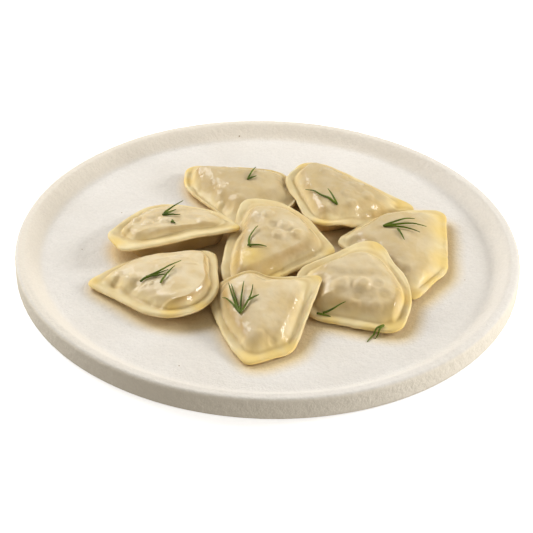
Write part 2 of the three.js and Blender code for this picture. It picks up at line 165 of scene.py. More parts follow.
# Laid in this order, so that a later one can lie on earlier ones. Corners run
# anticlockwise as (x, y, height above the plate's floor, rounding). seal and shoulder
# are widths along the side that starts at each corner. rise and depth are the pillow's
# heights above and below the seal, and lift raises its middle. Lumps and hollows of
# filling are (x, y, radius, height), and curd is how far its crumbs press through. A fold
# is the points (x, y) of its line, then its width and how far it stands up or sinks in.
# tuck draws the pillow's corners further in. A fuller pillow stands up more steeply from
# its seal, and press is the share of its thickness that the seal loses there. uneven
# scales the chance swellings of its top. showing is how much of the filling's colour comes
# through the whole top. golden is (x, y, radius) of places where butter has turned the
# dough yellow.
DUMPLINGS = {
    "pierogi_1": dict(
        corners=[(-44.5, 71.5, 4, 9), (-43, 50.5, 3, 8), (-15, 14.5, 3, 9),
                 (15, 33.5, 4.5, 12), (9.5, 65.5, 6, 14)],
        seal=[4.5, 1.8, 2.2, 0.6, 0.9], shoulder=[4, 10, 12, 9, 8], tuck=[0, 0, 0, 0, 0],
        full=1.5, press=0.3, rise=8.5, depth=5, lift=0, curd=0, uneven=0.5, showing=0.4,
        lumps=[(-21, 29.9, 3, -0.9), (-31, 52, 4.5, 0.5), (-25, 40, 3, 0.5),
               (-15, 31, 3.5, 0.4)],
        folds=[((-39.9, 68), (-40.6, 61), (-40, 51.4), 1, -0.6),
               ((-28.9, 51), (-23.6, 44.8), (-16.5, 40.2), (-8.5, 39.1), (3.4, 41.9), 2.8, 0.3),
               ((-34.2, 46.8), (-29, 41), 2.8, -1), ((-27.4, 37), (-22, 33), 2, -0.6),
               ((-25.2, 34), (-20.2, 31.5), 1.2, 0.4)],
        golden=[(-44, 68, 6), (-43, 56, 5)],
    ),
    "pierogi_2": dict(
        corners=[(6.5, 55, 8.5, 7), (18.5, 15, 8, 9), (29.5, 9, 9.5, 14),
                 (75.5, 35, 3.5, 8), (32.5, 68, 7.5, 14), (18, 73, 8, 8)],
        seal=[4.6, 5, 3.4, 2, 2.5, 4], shoulder=[5, 5, 8, 7, 5, 4],
        tuck=[0, 0, 0, 3, 0, 0], full=1.8, press=0.5, rise=7, depth=11, lift=0, curd=0.2,
        uneven=0.7, showing=0.45,
        lumps=[(37.9, 33.7, 2.6, 1), (40.7, 26.8, 2.4, 0.6), (48.4, 35, 2.6, 0.9),
               (42.2, 42.8, 2.6, 0.8), (49.2, 42.9, 2.4, 0.6), (27.4, 55.1, 2.4, 0.7),
               (38.4, 49.3, 3, -0.6), (55.1, 37.1, 3, -0.6), (44, 38.5, 2, -0.4)],
        folds=[((19.3, 50.8), (20.2, 37.8), (21.2, 28.1), 2.4, 0.4),
               ((25, 18.5), (33.9, 18.4), (40.3, 21.4), (50.5, 26.7), 1, -0.4),
               ((8.5, 53), (12, 36.1), (19.5, 18), 0.7, -0.6),
               ((10.6, 53), (14.2, 36), (21, 19), 0.6, 0.4),
               ((12.6, 52), (16, 36), (22.5, 22), 0.6, -0.4),
               ((60, 31.5), (69, 32.5), 0.7, -0.5), ((61, 35), (70, 35), 0.7, -0.4)],
        golden=[(14, 70, 6), (74, 35, 8), (66, 38, 6), (26, 12, 5), (58, 26, 6)],
    ),
    "pierogi_3": dict(
        corners=[(-17, 11.5, 9.5, 10), (-22, -19.5, 6.5, 14), (-20.5, -37, 5, 8),
                 (-6.5, -39.5, 4.5, 9), (33.5, -11, 8, 6), (14, 22, 12, 20),
                 (-12.5, 28.5, 14, 14)],
        seal=[4, 4.2, 2, 3.6, 2.2, 3, 4], shoulder=[5.5, 5.5, 8, 6, 5, 7.5, 5.5],
        tuck=[1, 0, 0, 0, 2, 0, 3], full=1.7, press=0.5, rise=8.2, depth=8, lift=0, curd=0.15,
        uneven=0.6, showing=0.2,
        lumps=[(0, 7.6, 2.6, 1.2), (8, -0.8, 2.7, 1.4), (5, -8.4, 2.7, 1.3),
               (13.6, -6.4, 2.6, 1.2), (-4.8, -3, 3, 0.7), (-5.6, 4, 2.8, -0.5),
               (2.2, -1.4, 2.4, -0.6), (10, -4.2, 2, -0.4), (-1, -12, 2.6, -0.4)],
        folds=[((-8, 21.5), (-12.6, 15), (-14.6, 4), 1.3, -0.5),
               ((-10.5, 8), (-11, -8), (-15, -22), 1.8, 0.35),
               ((21, -13), (8, -24), 0.9, 0.5), ((22, -15.5), (6.5, -27.5), 0.8, -0.6),
               ((24.5, -15), (7, -29.5), 0.7, 0.5), ((26, -17), (8, -31.5), 0.6, -0.5)],
        golden=[(4, -32, 9), (31, -12, 5), (-9, -23, 8)],
    ),
    "pierogi_4": dict(
        corners=[(31.5, 4, 4.5, 6), (67, -42, 2, 7), (85.2, -16.5, 2, 8),
                 (88, 33, 5, 8), (60.5, 32, 5.5, 18)],
        seal=[2.5, 3, 2.4, 2.6, 1.6], shoulder=[8, 9, 13, 8, 5], tuck=[0, 2, 0, 0, 0],
        full=1.5, press=0.1, rise=7.8, depth=5, lift=0, curd=0, uneven=0.7, showing=0.35,
        lumps=[(41.5, 0.5, 3, -0.8), (63.9, -22.6, 2.2, -0.5), (60.5, -19.5, 2.4, 0.4)],
        folds=[((34.5, 6), (39.6, 3.5), 2.2, 0.8), ((82.5, -14.5), (71, -30.5), 1, -0.7),
               ((77.1, -6.2), (75, -16.1), (71.1, -27), 2.4, 0.5),
               ((47.2, 16.2), (57.5, 20), (66.4, 23.5), 1.8, 0.5),
               ((45.7, 14), (50, 17), 0.8, -0.4), ((56, 22.5), (61, 25.5), 0.8, -0.4),
               ((58, 20), (63, 22), 0.7, -0.35)],
        golden=[(87, 14, 9), (87, 26, 7), (85, -10, 9), (78, -26, 7), (68, -38, 7)],
    ),
    "pierogi_5": dict(
        corners=[(11.5, -28, 8.5, 9), (18, -56, 2, 9), (60, -67.5, 2, 10),
                 (68.5, -40, 7, 12), (50.5, -5, 13.5, 10)],
        seal=[4, 4.8, 3.2, 3.4, 3.6], shoulder=[7, 7, 5, 5, 4], tuck=[0, 0, 0, 0, 4],
        full=1.9, press=0.5, rise=7.8, depth=5.5, lift=0, curd=0, uneven=0.7, showing=0.15,
        lumps=[(33.8, -42.4, 3.3, 1.4), (43.8, -42.6, 3.3, 1.5), (39.5, -53.2, 2.6, 0.8),
               (49, -54, 2.6, 0.7), (50.4, -42, 2.2, -0.6), (41, -48.4, 2.4, -0.5),
               (53, -48, 2.6, -0.5), (30, -50, 2.8, -0.5)],
        folds=[((23.7, -29), (35.3, -36), (47, -36.4), 2.2, -0.8),
               ((51, -10), (56.3, -17), (63, -29.6), (66.4, -38), 0.8, -0.6),
               ((49, -12), (54, -19), (60.5, -30), (63.6, -38), 0.7, 0.5),
               ((31, -21), (44.8, -21.7), (52.7, -33.6), 2, 0.5),
               ((61.8, -38.2), (58, -53.5), (56.5, -59), 1.6, 0.6),
               ((24.4, -47), (29.3, -46), 1.3, 0.6)],
        golden=[(64, -46, 6), (58, -62, 8), (46, -66, 6), (28, -60, 6), (53, -10, 7)],
    ),
    "pierogi_6": dict(
        corners=[(-28, -37, 2.5, 7), (-22.5, -64, 2.2, 16), (-8.5, -92.5, 1.3, 6),
                 (12.5, -81.5, 1.3, 5), (26.5, -36.5, 12.5, 5), (1.5, -36.5, 9.5, 10),
                 (-8, -32.5, 12, 8)],
        seal=[4.2, 4.8, 5, 3.3, 2.2, 2, 2.6], shoulder=[4.5, 5, 9, 6.5, 5, 5, 4],
        tuck=[0, 0, 0, 0, 3, 0, 0], full=2, press=0.55, rise=7.8, depth=5.5, lift=0, curd=0,
        uneven=0.7, showing=0,
        lumps=[(-7.7, -36.5, 4, 0.9), (-1.2, -39.5, 4, -0.8), (3.5, -77.5, 1.6, -0.4),
               (-2, -76, 2, 0.4)],
        folds=[((-20.6, -51.9), (-15.6, -66.5), (-10.9, -76), 1.3, -0.6),
               ((17.9, -46.6), (11.6, -61.2), (7.3, -71.3), (6.6, -75.8), 1.7, 0.5),
               ((20.2, -48.5), (17.1, -57.9), (13.7, -71.2), (10.2, -76.3), 1.1, -0.6)],
        golden=[(-6, -90, 9), (4, -86, 8), (12, -80, 6), (25, -38, 5)],
    ),
    "pierogi_7": dict(
        corners=[(-84, -34, 2, 5), (-51, -63.5, 4.3, 18), (-33, -63, 6.2, 12),
                 (-21, -49, 7.5, 9), (-24, -10.5, 6.5, 8), (-63, -14, 3.5, 18)],
        seal=[5.2, 4.6, 4.6, 4, 1.8, 2.4], shoulder=[7, 3, 2.2, 2, 5, 7],
        tuck=[2, 0, 0, 0, 0, 0], full=2.3, press=0.6, rise=6.2, depth=5, lift=1.5, curd=0,
        uneven=0.8, showing=0,
        lumps=[(-70.7, -33.6, 3.6, 1.2), (-64.1, -40.6, 3.8, 1.4), (-68.4, -38.6, 2.2, -0.7),
               (-58.5, -42, 2.6, -0.7), (-64, -33.5, 2.4, -0.4), (-51.9, -44.6, 0.9, 0.6)],
        folds=[((-58, -48.2), (-54.1, -52), (-43.1, -53.6), (-36.8, -52.8), (-32.5, -49.6),
                (-27, -42.1), 1.5, 0.4),
               ((-64.8, -31.7), (-57.7, -28.8), (-52.5, -29.7), 2, 0.5),
               ((-46, -58.2), (-41.2, -56.6), (-35.8, -56), 0.9, 0.45),
               ((-51.4, -25.9), (-46, -25), 0.8, 0.35), ((-46, -28.6), (-40, -27.8), 0.8, 0.35),
               ((-42.7, -24.6), (-36, -26), 0.8, 0.35), ((-38, -30.5), (-32, -30.8), 0.8, 0.35)],
        golden=[(-42, -60, 5), (-30, -57, 4), (-80, -34, 4)],
    ),
    "pierogi_8": dict(
        corners=[(-78, 0, 6.5, 6), (-68.5, -19, 10, 6), (-12.5, 0.5, 12.5, 4),
                 (-24, 26.5, 5, 14), (-59.5, 37, 2.5, 18)],
        seal=[6.5, 5.4, 3, 3, 4], shoulder=[5, 2.2, 6, 6, 5], tuck=[0, 2, 2, 0, 0],
        full=2.6, press=0.75, rise=5.2, depth=12, lift=0, curd=0.2, uneven=0.6, showing=0.1,
        lumps=[(-57.4, 10, 2.4, 1.1), (-57.7, 2.3, 2.3, 1.1), (-67.2, 0.5, 2.4, 1.2),
               (-49.7, 3.8, 2.2, 1), (-31.6, 4.1, 2.4, 0.8), (-64, 9, 2.2, 0.8),
               (-53.4, 6, 2.2, -0.7), (-43.6, 6, 2.6, -0.7), (-36.5, 8, 2.6, -0.6),
               (-62, 5, 2.2, -0.6)],
        folds=[((-62, -6), (-58, -4.2), (-50, -2.6), (-38, -0.8), (-24, 3), 1.1, 0.5)],
        golden=[(-73, -10, 6), (-15, 1, 4)],
    ),
}

# ---- dill ----
NEEDLE_RADIUS = 0.52
NEEDLE_TAPER = 0.7  # share of the radius lost at the tip
NEEDLE_STEP = 0.6
NEEDLE_FEWEST = 8  # steps along a needle
NEEDLE_SIDES = 8
NEEDLE_REACH = 0.6  # a needle rests on whatever is this near in plan
NEEDLE_STIFFNESS = (1, 2, 3, 2, 1)  # weights of a moving mean along a needle

# Each sprig is its needles, from the base out, as (x, y, height above what is under it).
DILL = [
    [[(-11.1, 45.7, 0), (-7.3, 58.6, 1)], [(-11.1, 45.7, 0), (-6.7, 49, 0.5)]],
    [[(33.2, 22.9, 0), (26, 29.9, 0.3), (17.8, 38.5, 1)], [(33.2, 22.9, 0), (28.7, 34.5, 1)]],
    [[(-51, 10.2, 0), (-47.5, 17.5, 1), (-42, 23.5, 3.5)], [(-51, 10.2, 0), (-44.9, 16.1, 0.8)],
     [(-51, 10.2, 0), (-42.6, 10, 0.5)], [(-46, 3.8, 0), (-44.9, 0.8, 0.4)],
     [(-46.5, 2.6, 0), (-44.4, 1.4, 0.3)]],
    [[(-57.7, -42, 0), (-48.8, -37.9, 0.8), (-39.6, -32.2, 2)],
     [(-57.7, -42, 0), (-45.1, -37.5, 0.6)],
     [(-48.1, -45.8, 0), (-45.4, -40.3, 0.6), (-42.1, -35.9, 1.5)],
     [(-55.1, -40.8, 0.4), (-46.3, -40.4, 0.5)]],
    [[(-8.2, -18.2, 0), (-8.9, -12, 0.2), (-5, -5.5, 1)], [(-9.6, -17.4, 0.2), (-0.6, -18.3, 0.3)]],
    [[(-11.6, -65.2, 0), (-11.2, -56.8, 0.5), (-10.4, -47.2, 1)],
     [(-11.6, -65.2, 0), (-15.4, -54.2, 0.5), (-17.3, -45.6, 1)],
     [(-11.6, -65.2, 0), (-13.8, -56.9, 0.4), (-16.1, -46.5, 0.8)],
     [(-11.6, -65.2, 0), (-8.1, -59.4, 0.4), (-6.3, -50.4, 1)],
     [(-8.1, -59.4, 0.4), (-3.4, -56.8, 0.8)],
     [(-11.6, -65.2, 0), (-16.1, -57.4, 0.4), (-19.8, -51.9, 0.8)]],
    [[(22.8, -55.2, 0.3), (29.1, -56.3, 0)], [(25.5, -54.4, 0), (29.8, -53.9, 0.4), (35.6, -53, 1)]],
    [[(52.7, -62.2, 0), (48.4, -65.5, 0.2), (45.2, -70.2, 0)],
     [(52.7, -62.2, 0), (50.1, -65.9, 0.2), (48.9, -67.5, 0)]],
    [[(55.1, 7.3, 0), (62.5, 11.9, 0.6), (70.7, 14.6, 1.2)],
     [(55.1, 7.3, 0), (65.2, 9, 0.6), (76.2, 10.5, 1.2)],
     [(55.1, 7.3, 0), (63.2, 6.2, 0.4), (72.6, 4.8, 0.8)],
     [(61.9, 4.5, 0), (64.6, -3.7, 0.3)]],
]


# ---- meshes ----

def stack(first, rings, last):
    """A closed skin: rings of equal count, anticlockwise seen from `last`, with a point
    at each end. Returns its points, its four-sided faces and its end triangles."""
    count, around = rings.shape[:2]
    points = np.concatenate([[first], rings.reshape(-1, 3), [last]])
    here = np.arange(around)
    beside = np.roll(here, -1)
    row = 1 + around * np.arange(count - 1)[:, None]
    quads = np.stack(
        [row + here, row + beside, row + around + beside, row + around + here], axis=-1
    ).reshape(-1, 4)
    top = 1 + around * (count - 1)
    triangles = np.concatenate([
        np.stack([np.zeros_like(here), 1 + beside, 1 + here], axis=-1),
        np.stack([top + here, top + beside, np.full_like(here, len(points) - 1)], axis=-1),
    ])
    return points, quads, triangles


def make_piece(name, skins, material, attributes=None):
    """One object from closed skins in millimetres, with a number at every point for each
    named attribute."""
    start = np.cumsum([0] + [len(points) for points, _, _ in skins[:-1]])
    points = np.concatenate([skin[0] for skin in skins]) * MM
    quads = np.concatenate([skin[1] + first for skin, first in zip(skins, start)])
    triangles = np.concatenate([skin[2] + first for skin, first in zip(skins, start)])
    mesh = bpy.data.meshes.new(name)
    mesh.vertices.add(len(points))
    mesh.vertices.foreach_set("co", points.astype(np.float32).ravel())
    sides = np.repeat([4, 3], [len(quads), len(triangles)])
    mesh.loops.add(sides.sum())
    mesh.loops.foreach_set("vertex_index", np.concatenate([quads.ravel(), triangles.ravel()]))
    mesh.polygons.add(len(sides))
    mesh.polygons.foreach_set("loop_start", np.cumsum(sides) - sides)
    mesh.polygons.foreach_set("use_smooth", np.ones(len(sides), bool))
    mesh.update(calc_edges=True)
    for key, values in (attributes or {}).items():
        layer = mesh.attributes.new(key, "FLOAT", "POINT")
        layer.data.foreach_set("value", values.astype(np.float32))
    mesh.materials.append(material)
    piece = bpy.data.objects.new(name, mesh)
    bpy.context.scene.collection.objects.link(piece)
    return piece


def noise(points, grain, seed):
    """Smooth noise from -1 to 1: random numbers on a cubic lattice of that grain, blended
    between its corners with 3t^2 - 2t^3."""
    lattice = np.random.default_rng(seed).uniform(-1, 1, (LATTICE, LATTICE, LATTICE))
    place = points / grain + LATTICE / 2
    cell = np.floor(place).astype(int)
    share = place - cell
    share = share * share * (3 - 2 * share)
    total = np.zeros(points.shape[:-1])
    for corner in np.ndindex(2, 2, 2):
        weight = np.prod(np.where(corner, share, 1 - share), axis=-1)
        at = (cell + corner) % LATTICE
        total += weight * lattice[at[..., 0], at[..., 1], at[..., 2]]
    return total


def waves(points, noises, seed):
    """The sum of noises, each (how far it moves a point, how wide its features are) and
    each with the next seed."""
    return sum(
        height * noise(points, width, seed + number)
        for number, (height, width) in enumerate(noises)
    )


def smooth(value):
    """0 below 0, 1 above 1, and 3t^2 - 2t^3 between."""
    value = np.clip(value, 0, 1)
    return value * value * (3 - 2 * value)


def surface_normals(grid, upright):
    """Unit normals of a grid of rings, from the cross product of its two tangents.
    `upright` is used where the rings shrink to a point."""
    along = np.roll(grid, -1, axis=1) - np.roll(grid, 1, axis=1)
    normal = np.cross(along, np.gradient(grid, axis=0)) + 1e-6 * upright
    return normal / np.linalg.norm(normal, axis=-1, keepdims=True)


# ---- materials ----

COORDINATES = "ShaderNodeTexCoord"
MARK = "ShaderNodeAttribute"
NOISE = "ShaderNodeTexNoise"
MAP_RANGE = "ShaderNodeMapRange"  # its inputs in order: a value, its range, the new range
MIX = "ShaderNodeMix"  # of colours: its inputs are 0 for the share, and 6 and 7
COLOURS = {"data_type": "RGBA"}
MIXED = 2  # the output of a mix of colours
BUMP = "ShaderNodeBump"


def colour(code):
    """The linear colour of an sRGB hex code."""
    channels = [int(code[start:start + 2], 16) / 255 for start in (0, 2, 4)]
    linear = [c / 12.92 if c <= 0.04045 else ((c + 0.055) / 1.055) ** 2.4 for c in channels]
    return (*linear, 1)


def per_mm(size):
    """The scale of a texture whose pattern repeats every `size` millimetres."""
    return 1 / (size * MM)


def add_node(material, kind, output, inputs=(), settings=()):
    """Adds a node with its settings, gives its inputs, by name or number or in order, a
    value or another node's output, and returns the node's own `output`, if it has one."""
    tree = material.node_tree
    node = tree.nodes.new(kind)
    for name, value in dict(settings).items():
        setattr(node, name, value)
    for socket, value in inputs.items() if isinstance(inputs, dict) else enumerate(inputs):
        if isinstance(value, bpy.types.NodeSocket):
            tree.links.new(value, node.inputs[socket])
        else:
            node.inputs[socket].default_value = value
    return node.outputs[output] if node.outputs else None


def new_material(name):
    """A material with no nodes."""
    material = bpy.data.materials.new(name)
    material.use_nodes = True
    material.node_tree.nodes.clear()
    return material


def finish_material(material, inputs):
    """Gives the material its shader with these inputs."""
    surface = add_node(material, "ShaderNodeBsdfPrincipled", "BSDF", inputs)
    add_node(material, "ShaderNodeOutputMaterial", None, {"Surface": surface})
    return material


def boiled_dough():
    """Wheat dough rolled thin and boiled, then coated with butter. It is milky and lets the grey
    filling show through, with painted shade in its hollows, is yellow where two sheets are pressed
    together, and is a darker golden brown on its flanks, partly from butter and partly as painted
    shade. Its flanks are the wettest, with highlights that break up over small wrinkles."""
    dough = new_material("boiled_wheat_dough")
    seal, filling, golden, steep_shade = [
        add_node(dough, MARK, "Fac", settings={"attribute_name": mark})
        for mark in ("seal", "filling", "golden", "steep_shade")
    ]
    place = add_node(dough, COORDINATES, "Object")
    clouds, puddles, films, creases, pores, wrinkles = [
        add_node(dough, NOISE, "Fac", {"Vector": place, "Scale": per_mm(size), "Detail": detail})
        for size, detail in ((9, 2), (5, 5), (3, 2), (3, 4), (0.9, 2), (2.8, 5))
    ]
    clouds, buttery, flank_butter_and_shade, roughness = [
        add_node(dough, MAP_RANGE, "Result", value_and_ranges)
        for value_and_ranges in (
            (clouds, 0.35, 0.65, 0, 1),
            (golden, 0.15, 0.9, 0, 0.8),
            (steep_shade, 0, 1, 0, 0.87),
            (films, 0.3, 0.7, 0.45, 0.6),
        )
    ]
    base, doubled = [
        add_node(dough, MIX, MIXED, {0: clouds, 6: colour(first), 7: colour(second)}, COLOURS)
        for first, second in (("e3cc9d", "ecdbb8"), ("ebd59f", "f2e1b2"))
    ]
    # filling darkens the hollows as painted shade; flank_butter_and_shade is butter and painted
    # shade on steep flanks.
    for share, tint in (
        (filling, colour("b39b6a")),
        (seal, doubled),
        (buttery, colour("f0d280")),
        (flank_butter_and_shade, colour("b68f43")),
    ):
        base = add_node(dough, MIX, MIXED, {0: share, 6: base, 7: tint}, COLOURS)
    wet = add_node(dough, MAP_RANGE, "Result", (puddles, 0.46, 0.5, 0.06, 1))
    for value_and_ranges in ((seal, 0.2, 1, 1, 0.4), (steep_shade, 0.05, 0.45, 0.35, 1)):
        share = add_node(dough, MAP_RANGE, "Result", value_and_ranges)
        wet = add_node(dough, "ShaderNodeMath", "Value", (wet, share), {"operation": "MULTIPLY"})
    skin = add_node(dough, BUMP, "Normal", {"Height": creases, "Distance": 0.11 * MM})
    skin = add_node(
        dough, BUMP, "Normal", {"Height": pores, "Distance": 0.03 * MM, "Normal": skin}
    )
    wrinkled = add_node(
        dough, BUMP, "Normal", {"Height": wrinkles, "Distance": 0.12 * MM, "Normal": skin}
    )
    return finish_material(dough, {
        "Base Color": base,
        "Roughness": roughness,
        "IOR": 1.42,
        "Specular IOR Level": 0.2,
        "Normal": skin,
        "Subsurface Weight": 0.18,
        "Subsurface Radius": (1.0, 0.85, 0.5),
        "Subsurface Scale": 1.4 * MM,
        "Coat Weight": wet,
        "Coat Roughness": 0.04,
        "Coat IOR": 1.45,
        "Coat Normal": wrinkled,
    })


def matte_stoneware():
    """Stoneware under a dry white slip: chalky, with a sandy skin, faint cream clouds and
    a few iron specks. The slip is cream on the rim, with painted warm light that makes it
    creamier toward the back left, and it is wiped off the wall. Round the food the plate
    takes butter and painted shadow."""
    ware = new_material("matte_stoneware")
    butter_and_shadow, bare, crest = [
        add_node(ware, MARK, "Fac", settings={"attribute_name": mark})
        for mark in ("butter_and_shadow", "bare", "crest")
    ]
    place = add_node(ware, COORDINATES, "Object")
    clouds, specks, mottles, patches, coarse_sand, fine_sand = [
        add_node(ware, NOISE, "Fac", {"Vector": place, "Scale": per_mm(size), "Detail": detail})
        for size, detail in ((45, 2), (2, 0), (1.1, 3), (4, 2), (2.4, 3), (0.9, 3))
    ]
    clouds, mottles, roughness = [
        add_node(ware, MAP_RANGE, "Result", value_and_ranges)
        for value_and_ranges in (
            (clouds, 0.35, 0.65, 0, 1),
            (mottles, 0.35, 0.65, 0.95, 1),
            (patches, 0.3, 0.7, 0.78, 0.95),
        )
    ]
    slip = {0: clouds, 6: colour("ede8e0"), 7: colour("f2eee8")}
    base = add_node(ware, MIX, MIXED, slip, COLOURS)
    for mark, start, full, cover, code in (
        # the crest's cream is partly the slip's colour and partly painted warm light, stronger
        # toward the back left
        (crest, 0, 1, 0.8, "f1e8d8"),
        (bare, 0, 1, 0.8, "f3e9d6"),
        # butter and painted shadow round the food
        (butter_and_shadow, 0.06, 0.7, 0.75, "eccf8c"),
        (specks, 0.89, 0.92, 1, "a08158"),
    ):
        share = add_node(ware, MAP_RANGE, "Result", (mark, start, full, 0, cover))
        base = add_node(ware, MIX, MIXED, {0: share, 6: base, 7: colour(code)}, COLOURS)
    darkened = COLOURS | {"blend_type": "MULTIPLY"}
    base = add_node(ware, MIX, MIXED, {0: 1.0, 6: base, 7: mottles}, darkened)
    sand = add_node(ware, BUMP, "Normal", {"Height": coarse_sand, "Distance": 0.36 * MM})
    sand = add_node(
        ware, BUMP, "Normal", {"Height": fine_sand, "Distance": 0.22 * MM, "Normal": sand}
    )
    return finish_material(ware, {
        "Base Color": base,
        "Roughness": roughness,
        "IOR": 1.5,
        "Specular IOR Level": 0.15,
        "Normal": sand,
    })


def fresh_dill():
    """Dill needles: dark green and waxy, paler here and there."""
    dill = new_material("fresh_dill")
    place = add_node(dill, COORDINATES, "Object")
    tint = add_node(dill, NOISE, "Fac", {"Vector": place, "Scale": per_mm(4), "Detail": 2})
    tint = add_node(dill, MAP_RANGE, "Result", (tint, 0.3, 0.7, 0, 1))
    greens = {0: tint, 6: colour("3f510c"), 7: colour("6c7e1c")}
    return finish_material(dill, {
        "Base Color": add_node(dill, MIX, MIXED, greens, COLOURS),
        "Roughness": 0.5,
        "IOR": 1.4,
        "Specular IOR Level": 0.3,
    })


def pale_table():
    """A plain white studio table, lit a little by itself so that it stays even."""
    table = new_material("white_table")
    return finish_material(table, {
        "Base Color": colour("fbfbfb"),
        "Roughness": 0.9,
        "Emission Color": (1, 1, 1, 1),
        "Emission Strength": 0.55,
    })


# ---- plate ----

def plate_section():
    """The plate's half section as (radius, height): across the underside, round the foot,
    up the wall, over the rim, across the crest, down a slope that falls along half a
    cosine wave, and in across the floor."""
    quarter = np.linspace(0, TURN / 4, ROUNDING_POINTS)
    foot = np.column_stack([
        PLATE_RADIUS - FOOT_ROUNDING + FOOT_ROUNDING * np.sin(quarter),
        FOOT_ROUNDING - FOOT_ROUNDING * np.cos(quarter),
    ])
    rim = np.column_stack([
        PLATE_RADIUS - RIM_ROUNDING + RIM_ROUNDING * np.cos(quarter),
        PLATE_HEIGHT - RIM_ROUNDING + RIM_ROUNDING * np.sin(quarter),
    ])
    wall_steps = int((PLATE_HEIGHT - FOOT_ROUNDING - RIM_ROUNDING) / WALL_RING_STEP)
    wall = np.linspace(foot[-1], rim[0], wall_steps + 2)[1:-1]
    crest_end = PLATE_RADIUS - CREST_WIDTH
    crest = np.linspace(rim[-1], (crest_end, PLATE_HEIGHT), CREST_POINTS)[1:-1]
    share = np.linspace(0, 1, SLOPE_POINTS)
    slope = np.column_stack([
        crest_end - SLOPE_WIDTH * share ** SLOPE_BIAS,
        PLATE_HEIGHT - (PLATE_HEIGHT - FLOOR_HEIGHT) * (1 - np.cos(TURN / 2 * share)) / 2,
    ])
    under_radii = np.linspace(UNDER_START, foot[0, 0], UNDER_POINTS)[:-1]
    under = np.column_stack([under_radii, np.zeros(len(under_radii))])
    floor_radii = np.arange(slope[-1, 0] - 1, FLOOR_END, -FLOOR_RING_STEP)
    floor = np.column_stack([floor_radii, np.full(len(floor_radii), FLOOR_HEIGHT)])
    return np.concatenate([under, foot, wall, rim, crest, slope, floor])


def butter_and_shadow_map(points, food):
    """How much butter and painted shadow lie on the plate at each point: the food seen from
    above, moved by the drift toward the front right and blurred."""
    covered = height_map(food + BUTTER_AND_SHADOW_DRIFT, np.maximum, -np.inf) > 0
    spread = blurred(covered.astype(float), BUTTER_AND_SHADOW_SPREAD)
    return read_map(spread, points) * (points[..., 2] > FLOOR_HEIGHT - 1)


def make_plate(material, food):
    """The section turned round the plate's axis. Above the foot its skin is uneven by
    slow waves of a hand-finished rim and by coarse sand."""
    section = plate_section()
    angle = TURN * np.arange(PLATE_AROUND) / PLATE_AROUND
    rings = np.stack([
        section[:, :1] * np.cos(angle),
        section[:, :1] * np.sin(angle),
        np.repeat(section[:, 1:], PLATE_AROUND, axis=1),
    ], axis=-1)
    raised = smooth(rings[..., 2] / FOOT_ROUNDING)[..., None]
    uneven = waves(rings, HAND_WAVES, PLATE_SEED) + waves(rings, SAND, PLATE_SEED + 1)
    normals = surface_normals(rings, np.array([0.0, 0.0, 1.0]))
    rings = rings + raised * uneven[..., None] * normals
    skin = stack((0, 0, 0), rings, (0, 0, FLOOR_HEIGHT))
    x, y, z = skin[0].T
    radius = np.hypot(x, y)
    wiped = smooth((radius - PLATE_RADIUS + WIPED_BAND) / WIPED_FADE)
    inner_edge = PLATE_RADIUS - CREST_WIDTH - SLOPE_WIDTH
    lit_side_cream = LIT_SIDE_LEAST + (1 - LIT_SIDE_LEAST) * smooth(0.5 + (y - x) / (2 * PLATE_RADIUS))
    plate = make_piece("stoneware_plate", [skin], material, {
        # butter_and_shadow: butter run off the food, and painted shadow drifted toward the front
        # right
        "butter_and_shadow": butter_and_shadow_map(skin[0], food),
        "bare": wiped * smooth((PLATE_HEIGHT + BARE_START - z) / BARE_FADE),
        # crest: cream slip on the crest, made stronger toward the back left as painted warm light
        "crest": lit_side_cream * (1 - wiped) * smooth((radius - inner_edge) / CREAM_FADE) * (z > 1),
    })
    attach(plate, "root")
    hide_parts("plate")
    return plate


# ---- dumplings ----

def seal_plane(points):
    """The middle of the corners, and three unit axes: across, along and upright. Upright
    is the sum of the normals of the triangles from the middle to each side."""
    middle = points.mean(axis=0)
    arms = points - middle
    upright = np.cross(arms, np.roll(arms, -1, axis=0)).sum(axis=0)
    upright /= np.linalg.norm(upright)
    across = np.array([1.0, 0.0, 0.0]) - upright * upright[0]
    across /= np.linalg.norm(across)
    return middle, np.array([across, np.cross(upright, across), upright])


def moved_in(corners, widths, kept_height):
    """The corners after each side moves inwards by its width: every new corner is where
    its two moved sides cross. Heights are scaled."""
    widths = np.array(widths, float)
    step = np.roll(corners, -1, axis=0)[:, :2] - corners[:, :2]
    inward = np.column_stack([-step[:, 1], step[:, 0]])
    inward /= np.linalg.norm(inward, axis=1, keepdims=True)
    sides = np.stack([np.roll(inward, 1, axis=0), inward], axis=1)
    shift = np.linalg.solve(sides, np.stack([np.roll(widths, 1), widths], axis=1)[..., None])
    return np.column_stack([corners[:, :2] + shift[..., 0], corners[:, 2] * kept_height])


def rounded_ring(corners, roundings):
    """A closed ring of points: round each corner a quadratic curve pulled towards it, and
    a straight side to the next."""
    after = np.roll(corners, -1, axis=0)
    before = np.roll(corners, 1, axis=0)
    length = np.linalg.norm(after - corners, axis=1)
    cut_after = np.minimum(roundings / length, LONGEST_CUT)[:, None]
    cut_before = np.minimum(roundings / np.roll(length, 1), LONGEST_CUT)[:, None]
    start = (corners + (before - corners) * cut_before)[:, None]
    end = (corners + (after - corners) * cut_after)[:, None]
    t = (np.arange(ARC_STEPS) / ARC_STEPS)[None, :, None]
    arcs = start * (1 - t) ** 2 + 2 * corners[:, None] * t * (1 - t) + end * t ** 2
    t = (np.arange(SIDE_STEPS) / SIDE_STEPS)[None, :, None]
    sides = end * (1 - t) + np.roll(start, -1, axis=0) * t
    return np.concatenate([arcs, sides], axis=1).reshape(-1, 3)


